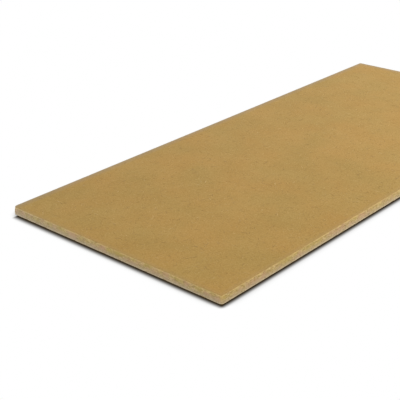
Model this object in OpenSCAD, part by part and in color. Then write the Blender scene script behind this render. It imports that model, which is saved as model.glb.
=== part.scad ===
// Wood fibre insulation board: one sheet of pressed softboard with blunt, sawn edges.
// Frame: millimetres, +Z up, origin at the centre of the underside.
// The length runs along X, the width along Y and the thickness along Z.

/* [Board] */
// Length of the board, along X
board_length = 1350; // [600:10:2500]
// Width of the board, along Y
board_width = 600; // [300:5:1250]
// Thickness of the board, along Z
board_thickness = 20; // [8:1:60]

/* [Edges] */
// Radius to which the long arrises are worn, above and below
arris_radius = 1.2; // [0.5:0.1:1.8]
// Radius of the four upright corners, seen from above
corner_radius = 2.4; // [2:0.2:12]

/* [Hidden] */

// Facets of a full circle, fine enough for radii of a few millimetres
circle_facets = 48;

// Section through the board from face to face, as wide as span, with all four arrises rounded
module board_section(span) {
    square_edge = span - 2 * arris_radius;
    union() {
        translate([-square_edge / 2, 0])
            square([square_edge, board_thickness]);
        translate([-span / 2, arris_radius])
            square([span, board_thickness - 2 * arris_radius]);
        for (x = [-1, 1] * square_edge / 2, y = [arris_radius, board_thickness - arris_radius])
            translate([x, y]) circle(r = arris_radius, $fn = circle_facets);
    }
}

// The board's full width, as long as the stretch between its upright corners
module lengthwise_slab() {
    stretch = board_length - 2 * corner_radius;
    translate([-stretch / 2, 0, 0])
        rotate([90, 0, 90]) linear_extrude(height = stretch) board_section(board_width);
}

// The board's full length, as wide as the stretch between its upright corners
module crosswise_slab() {
    stretch = board_width - 2 * corner_radius;
    translate([0, stretch / 2, 0])
        rotate([90, 0, 0]) linear_extrude(height = stretch) board_section(board_length);
}

// One upright corner: the same section turned round, so that its rim continues both edges
module corner_post() {
    rotate_extrude($fn = circle_facets)
        intersection() {
            board_section(2 * corner_radius);
            square([corner_radius, board_thickness]);
        }
}

// The whole board, sawn to size from one sheet
module board() {
    corner_x = board_length / 2 - corner_radius;
    corner_y = board_width / 2 - corner_radius;
    color("#b18f56") union() {
        lengthwise_slab();
        crosswise_slab();
        for (x = [-corner_x, corner_x], y = [-corner_y, corner_y])
            translate([x, y, 0]) corner_post();
    }
}

board();
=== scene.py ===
"""Wood fibre insulation board: one sheet of pressed softboard, sawn to size, on a studio floor.

Lengths are in metres, +Z is up and the origin is the middle of the underside. The board's length runs
along X and its width along Y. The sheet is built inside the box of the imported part, so every hollow
in its surface goes inwards.
"""

import logging
import math
import random
from abc import ABC, abstractmethod
from collections.abc import Callable, Mapping, Sequence
from dataclasses import dataclass, field
from enum import Enum
from functools import partial

import bmesh
import bpy
from mathutils import Matrix, Vector, noise


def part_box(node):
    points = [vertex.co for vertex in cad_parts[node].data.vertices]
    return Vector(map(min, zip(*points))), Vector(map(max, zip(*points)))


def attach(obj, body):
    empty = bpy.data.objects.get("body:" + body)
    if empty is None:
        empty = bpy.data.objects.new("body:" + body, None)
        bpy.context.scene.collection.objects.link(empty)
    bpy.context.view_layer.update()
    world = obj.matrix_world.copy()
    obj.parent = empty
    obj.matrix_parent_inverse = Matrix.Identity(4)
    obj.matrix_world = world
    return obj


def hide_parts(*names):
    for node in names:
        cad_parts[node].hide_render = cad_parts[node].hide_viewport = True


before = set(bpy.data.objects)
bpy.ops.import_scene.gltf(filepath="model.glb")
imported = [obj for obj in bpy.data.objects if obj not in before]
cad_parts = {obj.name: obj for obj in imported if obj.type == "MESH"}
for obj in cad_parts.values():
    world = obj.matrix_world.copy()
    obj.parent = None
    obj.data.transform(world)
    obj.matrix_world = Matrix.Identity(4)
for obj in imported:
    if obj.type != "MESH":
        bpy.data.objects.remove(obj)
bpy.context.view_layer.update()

LOG = logging.getLogger("wood_fibre_board")
MM = 0.001
NODE = "board"
BODY = "root"
BAKE_MAP = "OFBake"
STRAND_MAP = "fibre"
STRAND_SORTS = 64
# Most of a noise pattern lies between these two values, and its middle is here.
NOISE_ENDS = (0.3, 0.7)
NOISE_MIDDLE = 0.5
# A face whose direction has an upward part beyond this is level.
LEVEL = 0.99
# A point of a strand of unit size that is nearer than this to its axis or its foot lies on it.
ON_LINE = 0.01

Source = bpy.types.Node | bpy.types.NodeSocket
NodeAdder = Callable[..., bpy.types.Node]
Pair = tuple[float, float]
Triple = tuple[float, float, float]
Stops = tuple[tuple[float, str], ...]


class Skin(Enum):
    """How a stretch of the board's surface was made. The value is its material slot."""

    PRESSED = 0
    SAWN = 1
    SCREEN = 2


def linear(hex_colour: str) -> tuple[float, float, float, float]:
    """Turn an sRGB hex colour into the linear values that shaders take.

    Args:
        hex_colour: Six hex digits, such as "b18f56".

    Returns:
        Linear red, green and blue, and an alpha of 1.
    """
    levels = [int(hex_colour[i:i + 2], 16) / 255 for i in (0, 2, 4)]
    red, green, blue = (c / 12.92 if c <= 0.04045 else ((c + 0.055) / 1.055) ** 2.4 for c in levels)
    return red, green, blue, 1.0


def add_node(
    tree: bpy.types.NodeTree,
    kind: str,
    inputs: Mapping[str | int, object] | Sequence[object] = (),
    stops: Stops = (),
    **settings: object,
) -> bpy.types.Node:
    """Add a shader node with its settings, values and links.

    Args:
        tree: The material's or world's node tree.
        kind: Blender's name of the node type, without the ShaderNode that it starts with.
        inputs: The node's inputs by name or number, or all of them from the first on. Each is a plain
            value, the socket that feeds it, or the node whose first live output feeds it.
        stops: Place and hex colour of each stop in rising order, for a colour ramp.
        **settings: Properties of the node itself, such as its operation.

    Returns:
        The new node.
    """
    node = tree.nodes.new(f"ShaderNode{kind}")
    for name, value in settings.items():
        setattr(node, name, value)
    for name, value in inputs.items() if isinstance(inputs, Mapping) else enumerate(inputs):
        if isinstance(value, bpy.types.Node):
            value = next(output for output in value.outputs if output.enabled)
        if isinstance(value, bpy.types.NodeSocket):
            tree.links.new(value, node.inputs[name])
        else:
            node.inputs[name].default_value = value
    for number, (place, hex_colour) in enumerate(stops):
        elements = node.color_ramp.elements
        if number == len(elements):
            elements.new(place)
        elements[number].position = place
        elements[number].color = linear(hex_colour)
    return node


def bare_nodes(owner: bpy.types.Material | bpy.types.World) -> NodeAdder:
    """Clear the nodes of a material or world.

    Args:
        owner: The material or world.

    Returns:
        The call that adds a node to it.
    """
    owner.use_nodes = True
    owner.node_tree.nodes.clear()
    return partial(add_node, owner.node_tree)


@dataclass(frozen=True)
class Tint:
    """A colour that shows where a pattern or a distance calls for it.

    Attributes:
        colour: Its sRGB hex.
        share: How much of it there is where it is strongest.
        gone: The value at which it has gone.
        full: The value at which it is strongest.
    """

    colour: str
    share: float
    gone: float
    full: float


def lay_tints(add: NodeAdder, colour: Source, layers: Sequence[tuple[Tint, Source]]) -> bpy.types.Node:
    """Lay tints one over the other.

    Args:
        add: Adds a node.
        colour: The lowest colour.
        layers: Each tint, from the lowest up, and the pattern or distance that it follows.

    Returns:
        The node that gives the colour on top.
    """
    for tint, value in layers:
        mask = add("MapRange", [value, tint.gone, tint.full, 0.0, tint.share])
        colour = add("Mix", {0: mask, 6: colour, 7: linear(tint.colour)}, data_type="RGBA")
    return colour


def insets(add: NodeAdder, place: Source, half_size: Triple) -> list[bpy.types.NodeSocket]:
    """Measure how far inside the board's sides a point lies.

    Args:
        add: Adds a node.
        place: The coordinates.
        half_size: Half the board's length, width and thickness.

    Returns:
        The distances in metres to the nearest side along X, Y and Z.
    """
    middle = (0.0, 0.0, half_size[2])
    centred = add("VectorMath", [place, middle], operation="SUBTRACT")
    folded = add("VectorMath", [centred], operation="ABSOLUTE")
    inwards = add("VectorMath", [half_size, folded], operation="SUBTRACT")
    return add("SeparateXYZ", [inwards]).outputs[:]


@dataclass(frozen=True)
class Finish(ABC):
    """One surface finish of the board.

    Attributes:
        name: The material's name.
        smoothest: Roughness where the fibre lies flattest.
        roughest: Roughness where it stands up most.
        specular: Strength of the faint shine, where 0.5 is that of clear lacquer.
        relief: Height of the relief in metres.
        fuzz: Strength of the sheen that standing fibre ends give at a low angle.
    """

    name: str
    smoothest: float
    roughest: float
    specular: float
    relief: float
    fuzz: float

    def material(self) -> bpy.types.Material:
        """Build the finish as a material.

        Returns:
            The material, with its colour, roughness and relief from nodes.
        """
        made = bpy.data.materials.new(self.name)
        add = bare_nodes(made)
        colour, height = self.pattern(add)
        roughness = add("MapRange", [height, *NOISE_ENDS, self.smoothest, self.roughest])
        bump = add("Bump", {"Height": height, "Distance": self.relief})
        shader = add(
            "BsdfPrincipled",
            {"Base Color": colour, "Roughness": roughness, "Specular IOR Level": self.specular,
             "Sheen Weight": self.fuzz, "Normal": bump},
        )
        add("OutputMaterial", {"Surface": shader})
        return made

    @abstractmethod
    def pattern(self, add: NodeAdder) -> tuple[Source, Source]:
        """Draw the finish.

        Args:
            add: Adds a node to the material.

        Returns:
            The colour, and the height of the relief.
        """


@dataclass(frozen=True)
class FibreFelt(Finish):
    """A face of wood fibre felt, before what the press or the screen does to it.

    Real strands are 0.05 to 0.3 mm wide. They are drawn 1.1 mm wide, the finest that shows.

    Attributes:
        shades: Height in the pattern and sRGB hex of its hollows, darkened as painted shade, of its body
            and of the strands on top.
        clouds: Value of the cloud pattern and sRGB hex of the body where the pulp held more bark, of
            the plain body, and of the body where the steam coloured it most.
        headings: Directions in which the three layers of strands lie, in degrees from X.
        layer_shift: How far each layer is shifted from the one before.
        strand_length: Length of a strand.
        strand_width: Its width.
        strand_detail: Strength of the finer waves in the strands.
        strand_bend: How much they bend.
        cloud_size: Size of the clouds, each about a shovelful of pulp.
        cloud_share: How much they colour the felt.
    """

    shades: Stops
    clouds: Stops
    headings: Triple
    layer_shift: Triple = (0.37, 0.11, 0.05)
    strand_length: float = 7 * MM
    strand_width: float = 1.1 * MM
    strand_detail: float = 0.6
    strand_bend: float = 0.3
    cloud_size: float = 110 * MM
    cloud_share: float = 0.55

    def strands(self, add: NodeAdder, place: Source) -> bpy.types.Node:
        """Draw long strands that cross each other, flat in the sheet.

        Args:
            add: Adds a node.
            place: The coordinates.

        Returns:
            The node that gives the pattern, around 0.5, where strands that lie on top are higher.
        """
        fineness = (1 / self.strand_length, 1 / self.strand_width, 1 / self.strand_width)
        layers = []
        for number, heading in enumerate(self.headings):
            turn = (0.0, 0.0, math.radians(heading))
            shift = tuple(part * number for part in self.layer_shift)
            turned = add(
                "Mapping", {"Vector": place, "Rotation": turn, "Location": shift}, vector_type="TEXTURE"
            )
            drawn_out = add("Mapping", {"Vector": turned, "Scale": fineness})
            layers.append(add(
                "TexNoise",
                {"Vector": drawn_out, "Scale": 1.0, "Detail": 1.0, "Roughness": self.strand_detail,
                 "Distortion": self.strand_bend},
            ))
        lower = add("Math", layers[:2], operation="MAXIMUM")
        return add("Math", [lower, layers[2]], operation="MAXIMUM")

    def coloured(self, add: NodeAdder, place: Source, height: Source) -> bpy.types.Node:
        """Colour the felt by its height, darker in the hollows as painted shade, and tint it in slow
        clouds.

        Args:
            add: Adds a node.
            place: The coordinates.
            height: The height of the relief.

        Returns:
            The node that gives the colour.
        """
        # Painted shade: the lower the felt lies, the darker its colour.
        colour = add("ValToRGB", [height], stops=self.shades)
        clouds = add("TexNoise", {"Vector": place, "Scale": 1 / self.cloud_size, "Detail": 3.0})
        tint = add("ValToRGB", [clouds], stops=self.clouds)
        return add("Mix", {0: self.cloud_share, 6: colour, 7: tint}, data_type="RGBA")


@dataclass(frozen=True)
class PressedFace(FibreFelt):
    """Wet-process softboard, as the hot press leaves its face.

    The wood's own lignin binds it, so the face is a dense ochre felt of short fibre: quite matt, with a
    fine grain, faint clouds where the pulp settled thicker, and the odd dark speck of bark.

    Attributes:
        grain_size: Size of the grain. Real grain is about 1 mm, and it is drawn as fine as it shows.
        grain_share: How much of the relief is grain.
        flock_size: Size of the flocks in which the pulp settled.
        flock_share: How much of the relief is flocks.
        half_size: Half the board's length, width and thickness.
        rim_dust: The saw dust that clings along the rim, by the distance from it.
        far_side_grey: A stronger grey along the two far sides, by the distance from them.
        speck_spacing: Spacing of the bark specks.
        speck_radius: Radius of the largest.
        speck_gaps: Share of the places for a speck that have none.
        speck: Their tint, by the distance inside a speck.
    """

    name: str = "pressed_softboard_face"
    smoothest: float = 0.82
    roughest: float = 0.95
    specular: float = 0.25
    relief: float = 0.3 * MM
    fuzz: float = 0.10
    shades: Stops = ((0.397, "946d23"), (0.525, "aa863f"), (0.653, "bd9a5a"))
    clouds: Stops = ((0.35, "a58640"), (0.5, "aa863f"), (0.65, "af863e"))
    headings: Triple = (12.0, 71.0, 131.0)
    grain_size: float = 3.2 * MM
    grain_share: float = 0.5
    flock_size: float = 80 * MM
    flock_share: float = 0.18
    half_size: Triple = (0.5, 0.5, 0.5)
    rim_dust: Tint = Tint("8f8c84", 0.10, 11 * MM, 0.0)
    far_side_grey: Tint = Tint("8f8c84", 0.36, 22 * MM, 0.0)
    speck_spacing: float = 26 * MM
    speck_radius: float = 1.1 * MM
    speck_gaps: float = 0.35
    speck: Tint = Tint("946d23", 0.45, 0.0, 0.44 * MM)

    def pattern(self, add: NodeAdder) -> tuple[Source, Source]:
        """Draw the felt, its grain, flocks and specks, the dust along its rim and grey along its far sides.

        Args:
            add: Adds a node to the material.

        Returns:
            The colour, and the height of the relief.
        """
        place = add("TexCoord").outputs["Object"]
        height = self.strands(add, place)
        for size, octaves, share in (
            (self.grain_size, 1.0, self.grain_share), (self.flock_size, 3.0, self.flock_share)
        ):
            lumps = add("TexNoise", {"Vector": place, "Scale": 1 / size, "Detail": octaves})
            height = add("Mix", {0: share, 2: height, 3: lumps})
        layers = [(self.speck, self.inside_speck(add, place))]
        short_of_far = add("VectorMath", [self.half_size, place], operation="SUBTRACT")
        # Dust along the rim, and a stronger grey along the two far sides.
        for dust, depths in (
            (self.rim_dust, insets(add, place, self.half_size)),
            (self.far_side_grey, add("SeparateXYZ", [short_of_far]).outputs),
        ):
            layers.append((dust, add("Math", depths[:2], operation="MINIMUM")))
        return lay_tints(add, self.coloured(add, place, height), layers), height

    def inside_speck(self, add: NodeAdder, place: Source) -> bpy.types.Node:
        """Scatter specks of bark, one in each cell, unless it is too small to be there.

        Args:
            add: Adds a node.
            place: The coordinates.

        Returns:
            The node that gives how far inside a speck a point lies.
        """
        cells = add("TexVoronoi", {"Vector": place, "Scale": 1 / self.speck_spacing}).outputs
        distance = add("Math", [cells["Distance"], self.speck_spacing], operation="MULTIPLY")
        chance = add("SeparateXYZ", [cells["Color"]])
        radius = add("MapRange", [chance, self.speck_gaps, 1.0, 0.0, self.speck_radius])
        return add("Math", [radius, distance], operation="SUBTRACT")


@dataclass(frozen=True)
class ScreenFace(FibreFelt):
    """Underside of wet-process softboard, whose water ran off through a wire screen.

    It is the same ochre felt, a little rougher, with the screen's square print in it.

    Attributes:
        wire_pitch: Spacing of the print. Real screens have a wire every 1.5 to 2 mm, and the print is
            drawn as fine as it shows.
        drift: How far the print wanders from its straight lines, in wire spacings.
        drift_length: Length over which it wanders, in wire spacings.
        print_share: How much of the relief is print.
        print_levels: Heights of the print's hollows and knuckles, in the pattern.
    """

    name: str = "screen_marked_softboard"
    smoothest: float = 0.86
    roughest: float = 0.98
    specular: float = 0.2
    relief: float = 0.35 * MM
    fuzz: float = 0.10
    shades: Stops = ((0.38, "8e6927"), (0.54, "a5833d"), (0.70, "b89556"))
    clouds: Stops = ((0.35, "9e833d"), (0.5, "a5833d"), (0.65, "aa813e"))
    headings: Triple = (33.0, 94.0, 158.0)
    wire_pitch: float = 10 * MM
    drift: float = 0.6
    drift_length: float = 12.0
    print_share: float = 0.45
    print_levels: Pair = (0.2, 0.8)

    def pattern(self, add: NodeAdder) -> tuple[Source, Source]:
        """Draw the felt with the print of the screen's wires in it.

        Args:
            add: Adds a node to the material.

        Returns:
            The colour, and the height of the relief.
        """
        place = add("TexCoord").outputs["Object"]
        slowness = self.drift_length * self.wire_pitch
        wander = add("TexNoise", {"Vector": place, "Scale": 1 / slowness}).outputs["Color"]
        drift = add("VectorMath", {0: wander, "Scale": self.drift * self.wire_pitch}, operation="SCALE")
        drifted = add("VectorMath", [place, drift], operation="ADD")
        fineness = 2 * math.pi / self.wire_pitch
        turns = add("VectorMath", {0: drifted, "Scale": fineness}, operation="SCALE")
        waves = add("VectorMath", [turns], operation="SINE")
        axes = add("SeparateXYZ", [waves]).outputs
        knuckles = add("Math", [axes["X"], axes["Y"]], operation="MULTIPLY")
        printed = add("MapRange", [knuckles, -1.0, 1.0, *self.print_levels])
        height = add("Mix", {0: self.print_share, 2: self.strands(add, place), 3: printed})
        return self.coloured(add, place, height), height


@dataclass(frozen=True)
class SawnEdge(Finish):
    """Softboard cut with a fine circular saw.

    The blade tears the flat layers of fibre, which look paler and duller than the pressed face. The
    arrises wear off to bare fibre, which is paler still, and carry a painted highlight.

    Attributes:
        half_size: Half the board's length, width and thickness.
        shades: Height in the pattern and sRGB hex of the torn hollows, darkened as painted shade, of the
            cut and of the tufts.
        layer: Thickness of a layer. Real layers are about 0.3 mm thick, and they are drawn as fine as
            they show.
        tuft_size: Length of a torn tuft along the edge.
        tuft_detail: Strength of the finer tears in it.
        patch_size: Size of the straw and rosy patches.
        straw: The patches where straw-coloured fibre shows, by the patch pattern.
        rosy: The patches where the steam coloured the fibre most, by the patch pattern.
        rubbed_highlight: The worn arrises, where bare pale fibre and a painted highlight lie, by how bare
            they are.
        rubbed_highlight_band: Distances from the arris where it is worn bare and most highlighted, and
            where that has faded out.
        scuff_size: Spacing of the stretches where the arris is worn most.
        scuff_ends: Values of the scuff pattern where it is worn least and most.
        scuff_shares: How much it is worn there.
        greyer_foot: The lower half, which is greyer and paler towards the foot, by the height.
        painted_foot_light: A painted pale band along the foot, for the light that the white floor sheds on
            it, by the height.
        aired: The grey towards the back, which lay open to the air, by the distance from the front.
        fresh: The front edge, which was cut last, by the distance from the front.
    """

    name: str = "sawn_softboard_edge"
    smoothest: float = 0.9
    roughest: float = 1.0
    specular: float = 0.2
    relief: float = 0.35 * MM
    fuzz: float = 0.10
    half_size: Triple = (0.5, 0.5, 0.5)
    shades: Stops = ((0.32, "927944"), (0.5, "bca269"), (0.68, "e2ca94"))
    layer: float = 2.4 * MM
    tuft_size: float = 7 * MM
    tuft_detail: float = 0.6
    patch_size: float = 22 * MM
    straw: Tint = Tint("b8a158", 0.8, NOISE_MIDDLE, 0.35)
    rosy: Tint = Tint("c29d7a", 0.8, NOISE_MIDDLE, 0.65)
    # Painted highlight: the worn arrises are also paler where light would catch them.
    rubbed_highlight: Tint = Tint("d4b678", 1.0, 0.0, 1.0)
    rubbed_highlight_band: Pair = (1.8 * MM, 5.0 * MM)
    scuff_size: float = 13 * MM
    scuff_ends: Pair = (0.40, 0.60)
    scuff_shares: Pair = (0.1, 1.05)
    # Greyer and paler towards the foot.
    greyer_foot: Tint = Tint("bbad94", 0.85, 13 * MM, 0.0)
    # Painted light: a pale band along the foot for the white floor's light.
    painted_foot_light: Tint = Tint("ddd0b6", 0.6, 4 * MM, 0.0)
    aired: Tint = Tint("c8c3ae", 0.17, 300 * MM, 600 * MM)
    fresh: Tint = Tint("bf9743", 0.16, 10 * MM, 2 * MM)

    def pattern(self, add: NodeAdder) -> tuple[Source, Source]:
        """Draw the cut ends of the layers, torn into small tufts, and what dulls or bares them.

        Args:
            add: Adds a node to the material.

        Returns:
            The colour, and the height of the relief.
        """
        place = add("TexCoord").outputs["Object"]
        fineness = (1 / self.tuft_size, 1 / self.tuft_size, 1 / self.layer)
        layered = add("Mapping", {"Vector": place, "Scale": fineness})
        torn = add(
            "TexNoise", {"Vector": layered, "Scale": 1.0, "Detail": 3.0, "Roughness": self.tuft_detail}
        )
        # Painted shade: the deeper the tear, the darker its colour.
        colour = add("ValToRGB", [torn], stops=self.shades)
        patches = add("TexNoise", {"Vector": place, "Scale": 1 / self.patch_size, "Detail": 2.0})
        axes = add("SeparateXYZ", [place]).outputs
        from_front = add("Math", [axes["Y"], self.half_size[1]], operation="ADD")
        layers = [
            (self.straw, patches), (self.rosy, patches), (self.rubbed_highlight, self.rubbed_highlight_mask(add, place)),
            (self.greyer_foot, axes["Z"]), (self.painted_foot_light, axes["Z"]),
            (self.aired, from_front), (self.fresh, from_front),
        ]
        return lay_tints(add, colour, layers), torn

    def rubbed_highlight_mask(self, add: NodeAdder, place: Source) -> bpy.types.Node:
        """Mark the arrises and upright corners for wear and painted highlight, in a band that comes and
        goes.

        Args:
            add: Adds a node.
            place: The coordinates.

        Returns:
            The node that gives how bare and how highlighted a point is, from 0 to 1.
        """
        along, across, up = insets(add, place, self.half_size)
        from_corner = add("Math", [along, across], operation="MAXIMUM")
        nearest = add("Math", [up, from_corner], operation="MINIMUM")
        bare, faded = self.rubbed_highlight_band
        band = add("MapRange", [nearest, faded, bare, 0.0, 1.0])
        scuffs = add("TexNoise", {"Vector": place, "Scale": 1 / self.scuff_size, "Detail": 2.0})
        patchy = add("MapRange", [scuffs, *self.scuff_ends, *self.scuff_shares])
        return add("Math", [band, patchy], operation="MULTIPLY")


@dataclass(frozen=True)
class LooseFibre(Finish):
    """Strands of steam-softened wood that lie loose in the felt.

    Each keeps the colour of the wood it came from: straw, ochre, or brown where bark clings to it. They
    are quite matt, with fine grooves along them.

    Attributes:
        tones: Place among the sorts of strand and sRGB hex colour of each tone of the wood.
        grooves: Grooves across a strand.
        waves: Waves of the grooves along a strand.
    """

    name: str = "loose_wood_fibre"
    smoothest: float = 0.8
    roughest: float = 0.95
    specular: float = 0.25
    relief: float = 0.05 * MM
    fuzz: float = 0.10
    tones: Stops = (
        (0.0, "83632e"), (0.12, "906d33"), (0.35, "a4813d"),
        (0.65, "b28e46"), (0.88, "c4a25a"), (1.0, "d5b77a"),
    )
    grooves: float = 8.0
    waves: float = 3.0

    def pattern(self, add: NodeAdder) -> tuple[Source, Source]:
        """Give each strand the colour of its sort, which is its place across the strand map.

        Args:
            add: Adds a node to the material.

        Returns:
            The colour, and the height of the relief.
        """
        place = add("UVMap", uv_map=STRAND_MAP)
        sort = add("SeparateXYZ", [place])
        fineness = (self.grooves * STRAND_SORTS, self.waves, 1.0)
        drawn_out = add("Mapping", {"Vector": place, "Scale": fineness})
        grooved = add("TexNoise", {"Vector": drawn_out, "Scale": 1.0, "Detail": 1.0})
        return add("ValToRGB", [sort], stops=self.tones), grooved


@dataclass(frozen=True)
class CuttingPlan:
    """Where the board's two faces and four edges lie in its flat map.

    The faces lie one above the other, the two long edges above them, and the two short edges side by
    side in the last row.

    Attributes:
        low: Lowest corner of the board's box.
        high: Highest corner of the board's box.
        gap: Gap between the parts of the map.
        edge_stretch: How many times wider than its thickness an edge lies.
    """

    low: Vector
    high: Vector
    gap: float = 5 * MM
    edge_stretch: float = 1.9

    def lay(self, skin: Skin, normal: Vector, place: Vector) -> Pair:
        """Find a point's place in the map.

        Args:
            skin: The kind of surface that it is on.
            normal: The direction of the face that it is on.
            place: The point.

        Returns:
            Its two map coordinates, from 0 to 1.
        """
        size = self.high - self.low
        along, across, up = place - self.low
        edge_row = size.z * self.edge_stretch
        if skin is not Skin.SAWN:
            row = 0 if skin is Skin.PRESSED else 1
            flat = (along, across + row * (size.y + self.gap))
        else:
            rise = 2 * (size.y + self.gap) + up * self.edge_stretch
            if abs(normal.y) > abs(normal.x):
                row = 0 if normal.y < 0 else 1
                flat = (along, rise + row * (edge_row + self.gap))
            else:
                start = 0 if normal.x < 0 else size.y + self.gap
                flat = (start + across, rise + 2 * (edge_row + self.gap))
        map_size = size.x + 2 * self.gap
        return (flat[0] + self.gap) / map_size, (flat[1] + self.gap) / map_size


@dataclass
class BoardSheet:
    """The one piece that the board is: a pressed sheet with four sawn edges.

    Attributes:
        low: Lowest corner of the board's box.
        high: Highest corner of the board's box.
        arris_radius: Radius to which the arrises round both faces are worn.
        corner_radius: Radius of the four upright corners.
        arris_segments: Steps of the roll round an arris.
        corner_segments: Steps of an upright corner.
        face_pitch: Spacing of the mesh over the two faces.
        rim_pitch: Length from which an edge round the rim is halved.
        edge_rows: Rows of the mesh up an edge, between its arrises.
        snap: Distance within which a cut keeps to what is there.
        felt_depth: How far the felt lies under the loose strands, which reach up to the board's box.
        press_depth: Depth of the press's slow waves.
        press_wave: Length of those waves.
        tear_depth: Depth to which the saw tore the fibre.
        tear_size: Rough size of a tear along X, Y and Z.
        chip_depth: Depth that the deepest chips along the arrises could have.
        chip_spacing: Rough spacing of the chips.
        chip_rarity: Share of that depth which the noise must pass before there is a chip.
        dent_depth: Depth that the deepest dents in the four upright corners could have.
        dent_reach: Distance from a corner over which they fade out.
        dent_size: Rough height of a dent.
        skin_turn: Steepness, as the upward part of its direction, at which a face becomes an edge.
        finishes: The finish of each kind of surface.
        bm: The mesh in work.
    """

    low: Vector
    high: Vector
    arris_radius: float = 1.2 * MM
    corner_radius: float = 2.4 * MM
    arris_segments: int = 4
    corner_segments: int = 6
    face_pitch: float = 5.0 * MM
    rim_pitch: float = 4.0 * MM
    edge_rows: int = 8
    snap: float = 0.02 * MM
    felt_depth: float = 0.12 * MM
    press_depth: float = 0.10 * MM
    press_wave: float = 45 * MM
    tear_depth: float = 0.35 * MM
    tear_size: Triple = (9 * MM, 9 * MM, 4 * MM)
    chip_depth: float = 2.4 * MM
    chip_spacing: float = 11 * MM
    chip_rarity: float = 0.25
    dent_depth: float = 6.5 * MM
    dent_reach: float = 10 * MM
    dent_size: float = 24 * MM
    skin_turn: float = 0.35
    finishes: dict[Skin, Finish] = field(init=False)
    bm: bmesh.types.BMesh = field(init=False)

    def __post_init__(self) -> None:
        """Choose the finish of each kind of surface."""
        half_size = tuple((self.high - self.low) / 2)
        self.finishes = {
            Skin.PRESSED: PressedFace(half_size=half_size),
            Skin.SAWN: SawnEdge(half_size=half_size),
            Skin.SCREEN: ScreenFace(),
        }

    def build(self) -> bpy.types.Object:
        """Shape the sheet, dress it and add it to the scene.

        Returns:
            The finished piece.
        """
        self.bm = bmesh.new()
        self.saw_block()
        self.round_arrises()
        self.divide()
        self.sort_skins()
        self.wear()
        self.lay_bake_map()
        sheet = finished_piece("pressed_sheet", self.bm, [self.finishes[skin] for skin in Skin])
        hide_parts(NODE)
        return sheet

    def saw_block(self) -> None:
        """Make a plain block of the board's size, with its four upright corners rounded."""
        verts = bmesh.ops.create_cube(self.bm, size=1.0)["verts"]
        bmesh.ops.scale(self.bm, vec=self.high - self.low, verts=verts)
        bmesh.ops.translate(self.bm, vec=(self.high + self.low) / 2, verts=verts)
        self.round_off(self.edges_along(2, self.arris_radius), self.corner_radius, self.corner_segments)

    def round_arrises(self) -> None:
        """Round the rims of both faces."""
        self.bm.normal_update()
        rims = [e for e in self.bm.edges if any(abs(f.normal.z) > LEVEL for f in e.link_faces)]
        self.round_off(rims, self.arris_radius, self.arris_segments)

    def edges_along(self, axis: int, longer_than: float) -> list[bmesh.types.BMEdge]:
        """Give the edges of the mesh that reach further than a length along one axis, 0 to 2."""
        return [e for e in self.bm.edges if abs(e.verts[0].co[axis] - e.verts[1].co[axis]) > longer_than]

    def round_off(self, sharp: list[bmesh.types.BMEdge], radius: float, segments: int) -> None:
        """Round sharp edges of the mesh to a radius, in so many steps."""
        bmesh.ops.bevel(
            self.bm, geom=sharp, offset=radius, offset_type="OFFSET", segments=segments, profile=0.5,
            affect="EDGES", material=-1,
        )

    def divide(self) -> None:
        """Divide the faces and edges finely enough to carry their relief."""
        bm, size = self.bm, self.high - self.low
        for axis in range(2):
            across = Vector((0.0, 0.0, 0.0))
            across[axis] = 1.0
            for corner, inwards in ((self.low, 1), (self.high, -1)):
                bmesh.ops.bisect_plane(
                    bm, geom=bm.verts[:] + bm.edges[:] + bm.faces[:], dist=self.snap,
                    plane_co=corner + across * inwards * self.corner_radius, plane_no=across,
                )
        rows = (round(size.x / self.face_pitch), round(size.y / self.face_pitch), self.edge_rows)
        for axis, parts in enumerate(rows):
            self.cut(self.edges_along(axis, size[axis] / 2), parts)
        bm.normal_update()
        for axis in range(2):
            long_edges = self.edges_along(axis, self.rim_pitch)
            self.cut([e for e in long_edges if all(abs(f.normal.z) < LEVEL for f in e.link_faces)], 2)

    def cut(self, long_edges: list[bmesh.types.BMEdge], parts: int) -> None:
        """Cut edges of the mesh into equal parts, and join the cuts across its faces."""
        bmesh.ops.subdivide_edges(self.bm, edges=long_edges, cuts=parts - 1, use_grid_fill=True)

    def sort_skins(self) -> None:
        """Tell the pressed face, the sawn edges and the screen side apart."""
        self.bm.normal_update()
        for face in self.bm.faces:
            face.smooth = True
            level_skin = Skin.PRESSED if face.normal.z > 0 else Skin.SCREEN
            face.material_index = (Skin.SAWN if abs(face.normal.z) < self.skin_turn else level_skin).value

    def wear(self) -> None:
        """Press and tear the surface inwards by a few tenths of a millimetre, and dent the corners."""
        self.bm.normal_update()
        moves = []
        for vertex in self.bm.verts:
            flat = abs(vertex.normal.z)
            depth = flat * self.pressed(vertex.co) + (1 - flat) * self.torn(vertex.co)
            roll = 1 - abs(2 * flat - 1)
            depth += roll * self.chipped(vertex.co)
            moves.append(self.dented(vertex.co) - vertex.normal * depth)
        for vertex, move in zip(self.bm.verts, moves):
            vertex.co += move

    def pressed(self, place: Vector) -> float:
        """Give how far the felt of a face lies inside the board's box at a place."""
        return self.felt_depth + self.press_depth * (0.5 + 0.5 * noise.noise(place / self.press_wave))

    def torn(self, place: Vector) -> float:
        """Give how far a sawn edge lies inside the board's box at a place."""
        layered = Vector([part / size for part, size in zip(place, self.tear_size)])
        return self.felt_depth + self.tear_depth * min(1.0, max(0.0, 0.5 + noise.noise(layered)))

    def chipped(self, place: Vector) -> float:
        """Give the depth of the chips along the arrises at a place."""
        return self.chip_depth * max(0.0, noise.noise(place / self.chip_spacing) - self.chip_rarity)

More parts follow.
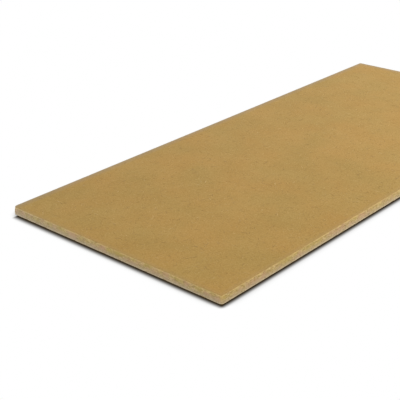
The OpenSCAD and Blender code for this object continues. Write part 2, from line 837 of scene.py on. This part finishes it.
    def dented(self, place: Vector) -> Vector:
        """Give how far the board is knocked in near its upright corners at a place, and which way.

        Args:
            place: The place.

        Returns:
            The level move towards the middle, of equal parts along X and Y.
        """
        sides = list(zip((place - self.low).xy, (self.high - place).xy))
        inwards = Vector([1.0 if from_low < to_high else -1.0 for from_low, to_high in sides])
        from_corner = Vector([min(side) for side in sides])
        nearness = max(0.0, 1 - from_corner.length / self.dent_reach)
        depth = self.dent_depth * nearness ** 2 * max(0.0, noise.noise(place / self.dent_size))
        return (inwards.normalized() * depth).to_3d()

    def edge_depth(self, place: Vector) -> float:
        """Give how far an edge lies inside the board's box at a place, with its dented corners."""
        return self.torn(place) + abs(self.dented(place).x)

    def lay_bake_map(self) -> None:
        """Lay both faces and the four edges flat in one map, for baking."""
        self.bm.normal_update()
        flat_map = self.bm.loops.layers.uv.new(BAKE_MAP)
        plan = CuttingPlan(self.low, self.high)
        for face in self.bm.faces:
            for loop in face.loops:
                loop[flat_map].uv = plan.lay(Skin(face.material_index), face.normal, loop.vert.co)


@dataclass(frozen=True)
class Bed:
    """A flat side of the board's box, in which loose strands lie.

    Attributes:
        corner: The corner that it starts from.
        along: Direction of its length.
        across: Direction of its width.
        length: Its length.
        width: Its width.
    """

    corner: Vector
    along: Vector
    across: Vector
    length: float
    width: float

    @property
    def outwards(self) -> Vector:
        """Give the direction away from the board."""
        return self.along.cross(self.across)

    @classmethod
    def faces(cls, low: Vector, high: Vector) -> list["Bed"]:
        """Take the board's two faces, the upper one first.

        Args:
            low: Lowest corner of the board's box.
            high: Highest corner of the board's box.

        Returns:
            The two beds.
        """
        along, across = Vector((1.0, 0.0, 0.0)), Vector((0.0, 1.0, 0.0))
        corners = Vector((low.x, low.y, high.z)), Vector((low.x, high.y, low.z))
        run = high - low
        return [cls(corner, along, side, run.x, run.y) for corner, side in zip(corners, (across, -across))]

    @classmethod
    def edges(cls, low: Vector, high: Vector) -> list["Bed"]:
        """Take the board's four edges, in order round it.

        Args:
            low: Lowest corner of the board's box.
            high: Highest corner of the board's box.

        Returns:
            The four beds.
        """
        plan = ((low.x, low.y), (high.x, low.y), (high.x, high.y), (low.x, high.y))
        corners = [Vector((x, y, low.z)) for x, y in plan]
        up = Vector((0.0, 0.0, 1.0))
        runs = [(start, end - start) for start, end in zip(corners, corners[1:] + corners[:1])]
        return [cls(start, run.normalized(), up, run.length, high.z - low.z) for start, run in runs]


class StrandCut(Enum):
    """Least and greatest length of a sort of strand, and its least and greatest width.

    Real strands are 0.05 to 0.3 mm wide, and the coarse slivers among them 0.5 to 2 mm. The finest are
    made up to three times as wide, so that they show.
    """

    FIBRE = ((4 * MM, 16 * MM), (0.3 * MM, 0.9 * MM))
    SHIVE = ((5 * MM, 20 * MM), (0.8 * MM, 1.6 * MM))
    STUB = ((1.5 * MM, 6 * MM), (0.2 * MM, 0.5 * MM))


@dataclass
class LooseStrands:
    """Loose strands of fibre that lie half sunk in the felt, as one piece of some thousands of slivers.

    Attributes:
        name: The piece's name.
        beds: The sides that they lie in.
        felt: Gives how far the felt lies inside the board's box at a place.
        seed: Seed of their places.
        doublings: How many times the sorts of strand are doubled.
        cut: How long and how wide they are.
        spread: How far they turn from the bed's length, in degrees either way.
        margin: Clear band along the rim of the bed.
        sunk: How deep the strands are sunk in the felt.
        clearance: How far the highest stay inside the board's box.
        prism: Length of the prism that a strand is drawn out from, as a share of the strand.
        bend: How far a strand bends sideways, in widths.
        short_width: How much of the range of widths the shortest strands take up.
        flattest: Thickness of the flattest, as a share of the room for it.
        map_sides: How far from the middle of its column a strand's two sides lie in the map.
        finish: Their finish.
        chance: Source of the chance in their shapes and places.
        bm: The mesh in work.
    """

    name: str
    beds: list[Bed]
    felt: Callable[[Vector], float]
    seed: int
    doublings: int
    cut: StrandCut
    spread: float = 90.0
    margin: float = 2.5 * MM
    sunk: float = 0.04 * MM
    clearance: float = 0.01 * MM
    prism: float = 0.5
    bend: float = 2.0
    short_width: float = 0.4
    flattest: float = 0.45
    map_sides: Pair = (0.35, 0.21)
    finish: Finish = LooseFibre()
    chance: random.Random = field(init=False)
    bm: bmesh.types.BMesh = field(init=False)

    def build(self) -> bpy.types.Object:
        """Shape the strands, lay them down and add them to the scene.

        Returns:
            The finished piece.
        """
        self.chance = random.Random(self.seed)
        self.bm = bm = bmesh.new()
        strands = [self.shape_strand(sort) for sort in range(STRAND_SORTS)]
        for _ in range(self.doublings):
            twin = bmesh.ops.duplicate(bm, geom=bm.verts[:] + bm.edges[:] + bm.faces[:])["vert_map"]
            strands += [[twin[vertex] for vertex in strand] for strand in strands]
        bed_lengths = [bed.length for bed in self.beds]
        for strand in strands:
            placing = self.lie(self.chance.choices(self.beds, bed_lengths)[0])
            for vertex in strand:
                vertex.co = placing @ vertex.co
        return finished_piece(self.name, bm, [self.finish])

    def shape_strand(self, sort: int) -> list[bmesh.types.BMVert]:
        """Shape one strand of unit size: a bent three-sided sliver, pointed at both ends.

        It starts as a shorter prism that stands on one of its long edges, its foot. The middles of its
        ends are then drawn out and down to the tips.

        Args:
            sort: Number of its sort, which sets its colour.

        Returns:
            Its vertices.
        """
        bm = self.bm
        made = bmesh.ops.create_cone(
            bm, cap_ends=True, cap_tris=True, segments=3, radius1=0.5, radius2=0.5, depth=self.prism
        )["verts"]
        bmesh.ops.transform(bm, matrix=Matrix.Rotation(math.radians(90), 4, "Y"), verts=made)
        tips = [v for v in made if v.co.yz.length < ON_LINE]
        sides = [v for v in made if v not in tips]
        bmesh.ops.translate(bm, vec=(0.0, 0.0, -min(v.co.z for v in made)), verts=sides)
        for tip in tips:
            tip.co.x /= self.prism
            tip.co.z = 0.0
        for end in (-1, 1):
            ring = [v for v in sides if v.co.x * end > 0]
            bend = self.chance.uniform(-self.bend, self.bend)
            bmesh.ops.translate(bm, vec=(0.0, bend, 0.0), verts=ring)
        self.lay_strand_maps(made, sort)
        return made

    def lay_strand_maps(self, made: list[bmesh.types.BMVert], sort: int) -> None:
        """Lay a strand in the column of its sort, along the strand map and the bake map.

        Args:
            made: The strand's vertices.
            sort: Number of its sort.
        """
        uv = self.bm.loops.layers.uv
        layers = [uv.get(name) or uv.new(name) for name in (STRAND_MAP, BAKE_MAP)]
        place = {}
        for vertex in made:
            side = self.map_sides[0 if vertex.co.y > 0 else 1]
            across = 0.5 + (side if vertex.co.z > ON_LINE else -side)
            place[vertex] = ((sort + across) / STRAND_SORTS, vertex.co.x + 0.5)
        for face in {f for v in made for f in v.link_faces}:
            face.smooth = True
            for loop in face.loops:
                for layer in layers:
                    loop[layer].uv = place[loop.vert]

    def lie(self, bed: Bed) -> Matrix:
        """Choose a size and a place for a strand. Most are short, and a few are long.

        Args:
            bed: The side that it lies in.

        Returns:
            The transform that takes it from its unit size to its place.
        """
        chance = self.chance
        (shortest, longest), (narrowest, widest) = self.cut.value
        size = chance.random() ** 3
        length = shortest + size * (longest - shortest)
        width_range = self.short_width + (1 - self.short_width) * size
        width = narrowest + chance.random() * width_range * (widest - narrowest)
        heading = math.radians(chance.uniform(-self.spread, self.spread)) + math.pi * chance.randrange(2)
        direction = math.cos(heading) * bed.along + math.sin(heading) * bed.across
        sideways = bed.outwards.cross(direction)
        half_along = self.margin + abs(math.cos(heading)) * length / 2 + self.bend * width
        half_across = self.margin + abs(math.sin(heading)) * length / 2 + self.bend * width
        middle = (
            bed.corner
            + bed.along * chance.uniform(half_along, bed.length - half_along)
            + bed.across * chance.uniform(half_across, bed.width - half_across)
        )
        root = self.felt(middle) + self.sunk
        thickness = (root - self.clearance) * chance.uniform(self.flattest, 1.0)
        turned = Matrix((direction * length, sideways * width, bed.outwards * thickness)).transposed()
        return Matrix.Translation(middle - bed.outwards * root) @ turned.to_4x4()


def finished_piece(name: str, bm: bmesh.types.BMesh, finishes: Sequence[Finish]) -> bpy.types.Object:
    """Turn a mesh in work into a finished piece of the board.

    Args:
        name: The piece's name.
        bm: The mesh in work, which is freed.
        finishes: Its finishes, in the order of its material slots.

    Returns:
        The piece, in the scene and riding on the board's body.
    """
    piece = placed_mesh(name, bm, [finish.material() for finish in finishes])
    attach(piece, BODY)
    return piece


def placed_mesh(
    name: str, bm: bmesh.types.BMesh, materials: Sequence[bpy.types.Material]
) -> bpy.types.Object:
    """Turn a mesh in work into an object of the scene.

    Args:
        name: The object's name.
        bm: The mesh in work, which is freed.
        materials: Its materials, in the order of its slots.

    Returns:
        The object.
    """
    mesh = bpy.data.meshes.new(name)
    bm.to_mesh(mesh)
    bm.free()
    for material in materials:
        mesh.materials.append(material)
    placed = bpy.data.objects.new(name, mesh)
    bpy.context.scene.collection.objects.link(placed)
    return placed


@dataclass(frozen=True)
class SoftBox:
    """A square lamp with an even, soft light.

    Attributes:
        name: The lamp's name.
        place: Where it hangs.
        target: The point that it faces.
        size: Length of its side.
        power: Its power in watts.
    """

    name: str
    place: Triple
    target: Triple
    size: float
    power: float

    def hang(self) -> None:
        """Add the lamp to the scene, out of the camera's sight."""
        lamp_data = bpy.data.lights.new(self.name, "AREA")
        lamp_data.shape = "SQUARE"
        lamp_data.size = self.size
        lamp_data.energy = self.power
        lamp = bpy.data.objects.new(self.name, lamp_data)
        lamp.location = self.place
        lamp.rotation_euler = (Vector(self.target) - Vector(self.place)).to_track_quat("-Z", "Y").to_euler()
        lamp.visible_camera = False
        bpy.context.scene.collection.objects.link(lamp)


@dataclass
class Studio:
    """The pale floor, the soft light and the camera.

    Attributes:
        board_low: Lowest corner of the board's box.
        board_high: Highest corner of the board's box.
        floor_size: Length of the floor's side.
        floor_lap: How far the floor reaches in under the board.
        floor_albedo: Share of the light that the floor sheds back.
        contact_colour: Colour of the floor where no light reaches it.
        shadow_width: Distances from the board up to which the painted contact shadow is quite dark, and
            where it has gone.
        shadow_narrowing: How many times narrower it is off the short and the long near side.
        shadow_ending: The same for its two far ends.
        shadow_short: How far short of the two far sides it starts to end.
        shadow_nearness: Direction towards the near corner, in which it gets tighter.
        shadow_tightness: How tight it is at the far corner and at the near one.
        shade_reach: Distance from which the board shades the floor.
        shade_samples: Directions in which the floor looks for it.
        shade_ends: Open share of the sky at which the floor is darkest, and at which it is white.
        shade_depth: What the floor keeps of its white where it is darkest.
        sky_strength: Strength of the light from all round.
        soft_boxes: The lamps.
        aim: Point that the camera looks at.
        stand_off: Its distance from there.
        heading: Its heading from X, in degrees.
        tilt: How far it looks down, in degrees.
        roll: How far it leans, in degrees.
        lens: Its focal length in millimetres.
        film: Width of its picture in millimetres.
    """

    board_low: Vector
    board_high: Vector
    floor_size: float = 14.0
    floor_lap: float = 2.5 * MM
    floor_albedo: float = 0.85
    contact_colour: str = "382f21"
    shadow_width: Pair = (1.5 * MM, 16.4 * MM)
    shadow_narrowing: Triple = (1.0, 1.12, 0.0)
    shadow_ending: Triple = (3.0, 3.0, 0.0)
    shadow_short: float = 13 * MM
    shadow_nearness: Triple = (-0.11, -0.38, 0.0)
    shadow_tightness: Pair = (0.71, 1.09)
    shade_reach: float = 40 * MM
    shade_samples: int = 32
    shade_ends: Pair = (0.5, 0.88)
    shade_depth: float = 0.4
    sky_strength: float = 0.69
    soft_boxes: tuple[SoftBox, ...] = (
        SoftBox("key_box", (1.9, -1.3, 1.8), (0.2, 0.0, 0.0), 1.6, 56.0),
        SoftBox("fill_box", (-2.2, 0.2, 0.85), (-0.5, 0.0, 0.0), 1.6, 4.1),
    )
    aim: Triple = (-0.3783, 0.0205, 0.010)
    stand_off: float = 2.1478
    heading: float = 42.676
    tilt: float = 24.783
    roll: float = -1.477
    lens: float = 87.426
    film: float = 36.0

    def build(self) -> None:
        """Set up the floor, the light and the camera."""
        self.lay_floor()
        self.light()
        self.place_camera()

    def lay_floor(self) -> None:
        """Lay the floor just under the board, open beneath it so that low views show its underside."""
        bm = bmesh.new()
        for half_length, half_width in (
            (self.floor_size / 2, self.floor_size / 2),
            (self.board_high.x - self.floor_lap, self.board_high.y - self.floor_lap),
        ):
            square = bmesh.ops.create_grid(bm, x_segments=1, y_segments=1, size=1.0)["verts"]
            bmesh.ops.scale(bm, vec=(half_length, half_width, 1.0), verts=square)
        bmesh.ops.delete(bm, geom=bm.faces[:], context="FACES_ONLY")
        bmesh.ops.bridge_loops(bm, edges=bm.edges[:])
        bmesh.ops.recalc_face_normals(bm, faces=bm.faces)
        bm.normal_update()
        if bm.faces[:][0].normal.z < 0:
            bmesh.ops.reverse_faces(bm, faces=bm.faces)
        placed_mesh("studio_floor", bm, [self.floor_material()])

    def floor_material(self) -> bpy.types.Material:
        """Make the floor's white, with the board's shadow painted into the colour that it shows.

        Returns:
            The material, clear from below.
        """
        made = bpy.data.materials.new("studio_white")
        add = bare_nodes(made)
        # Painted shadow: occlusion and a drawn contact shadow darken the shown white.
        shade = add("Math", [self.open_sky(add), self.painted_contact_shadow(add)], operation="MULTIPLY")
        tones = {6: linear(self.contact_colour), 7: linear("ffffff")}
        shown_colour = add("Mix", {0: shade, **tones}, data_type="RGBA")
        shown = add("Emission", {"Color": shown_colour, "Strength": 1.0})
        lit = add("BsdfDiffuse", {"Color": (self.floor_albedo,) * 3 + (1.0,)})
        mixed = add("MixShader", [self.seen_directly(add), lit, shown])
        from_below = add("NewGeometry").outputs["Backfacing"]
        one_sided = add("MixShader", [from_below, mixed, add("BsdfTransparent")])
        add("OutputMaterial", {"Surface": one_sided})
        return made

    def open_sky(self, add: NodeAdder) -> bpy.types.Node:
        """Give the share of the light round it that a point of the floor gets past the board."""
        sky = add("AmbientOcclusion", {"Distance": self.shade_reach}, samples=self.shade_samples)
        return add("MapRange", [sky.outputs["AO"], *self.shade_ends, self.shade_depth, 1.0])

    def painted_contact_shadow(self, add: NodeAdder) -> bpy.types.Node:
        """Paint the contact shadow where the board meets the floor. It fades out towards the two far sides.

        Args:
            add: Adds a node.

        Returns:
            The node that gives a share from 0 in the painted shadow to 1 in the open.
        """
        # Painted shadow, drawn from the distance to the board's outline rather than cast by a lamp.
        place = add("TexCoord").outputs["Object"]
        end = Vector((self.shadow_short, self.shadow_short, 0.0))
        beyond = (0.0, 0.0, 0.0)
        for distance, narrowing in (
            ([tuple(self.board_low), place], self.shadow_narrowing),
            ([place, tuple(self.board_high - end)], self.shadow_ending),
        ):
            past = add("VectorMath", distance, operation="SUBTRACT")
            scaled = add("VectorMath", [past, narrowing], operation="MULTIPLY")
            beyond = add("VectorMath", [beyond, scaled], operation="MAXIMUM")
        off_board = add("VectorMath", [beyond], operation="LENGTH")
        nearness = add("VectorMath", [place, self.shadow_nearness], operation="DOT_PRODUCT")
        reach = sum(abs(part * half) for part, half in zip(self.shadow_nearness, self.board_high.xy))
        tightness = add("MapRange", [nearness, -reach, reach, *self.shadow_tightness])
        gap = add("Math", [off_board, tightness], operation="MULTIPLY")
        return add("MapRange", [gap, *self.shadow_width], interpolation_type="SMOOTHSTEP")

    @staticmethod
    def seen_directly(add: NodeAdder) -> bpy.types.Node:
        """Tell where a surface is looked at, mirrored or seen through from where it only sheds light.

        Args:
            add: Adds a node.

        Returns:
            The node that gives 1 or 0.
        """
        path = add("LightPath").outputs
        seen = path["Is Camera Ray"]
        for other in (path["Is Glossy Ray"], path["Is Transmission Ray"]):
            seen = add("Math", [seen, other], operation="MAXIMUM")
        return seen

    def light(self) -> None:
        """Light the board from all round, and a little more from the far right."""
        world = bpy.data.worlds.new("studio_light")
        bpy.context.scene.world = world
        add = bare_nodes(world)
        strength = add("MapRange", [self.seen_directly(add), 0.0, 1.0, self.sky_strength, 1.0])
        sky = add("Background", [linear("ffffff"), strength])
        add("OutputWorld", {"Surface": sky})
        for soft_box in self.soft_boxes:
            soft_box.hang()

    def place_camera(self) -> None:
        """Stand the camera off to the near left, looking down on the board."""
        heading, tilt, roll = (math.radians(a) for a in (self.heading, self.tilt, self.roll))
        ahead = Vector((
            math.cos(tilt) * math.cos(heading), math.cos(tilt) * math.sin(heading), -math.sin(tilt)
        ))
        level_right = Vector((math.sin(heading), -math.cos(heading), 0.0))
        level_up = level_right.cross(ahead)
        right = math.cos(roll) * level_right + math.sin(roll) * level_up
        up = math.cos(roll) * level_up - math.sin(roll) * level_right
        camera_data = bpy.data.cameras.new("camera")
        camera_data.lens = self.lens
        camera_data.sensor_width = self.film
        camera = bpy.data.objects.new("camera", camera_data)
        camera.matrix_world = (
            Matrix.Translation(Vector(self.aim) - ahead * self.stand_off)
            @ Matrix((right, up, -ahead)).transposed().to_4x4()
        )
        bpy.context.scene.collection.objects.link(camera)
        bpy.context.scene.camera = camera
        bpy.context.scene.view_settings.view_transform = "Standard"


def main() -> None:
    """Build the board and its studio, and report each piece."""
    logging.basicConfig(level=logging.INFO, format="%(name)s: %(message)s")
    low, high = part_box(NODE)
    board = BoardSheet(low, high)
    upper, under = Bed.faces(low, high)
    edges = Bed.edges(low, high)
    pieces = [
        board,
        LooseStrands("face_fibres", [upper], board.pressed, seed=11, doublings=8, cut=StrandCut.FIBRE),
        LooseStrands("face_shives", [upper], board.pressed, seed=12, doublings=5, cut=StrandCut.SHIVE),
        LooseStrands(
            "screen_side_fibres", [under], board.pressed, seed=13, doublings=7, cut=StrandCut.FIBRE
        ),
        LooseStrands(
            "edge_fibres", edges, board.edge_depth, seed=14, doublings=7, cut=StrandCut.STUB,
            spread=25.0, margin=1.5 * MM,
        ),
    ]
    for piece in pieces:
        made = piece.build()
        made.data.calc_loop_triangles()
        LOG.info("%s: %d triangles", made.name, len(made.data.loop_triangles))
    Studio(low, high).build()


if __name__ == "__main__":
    main()
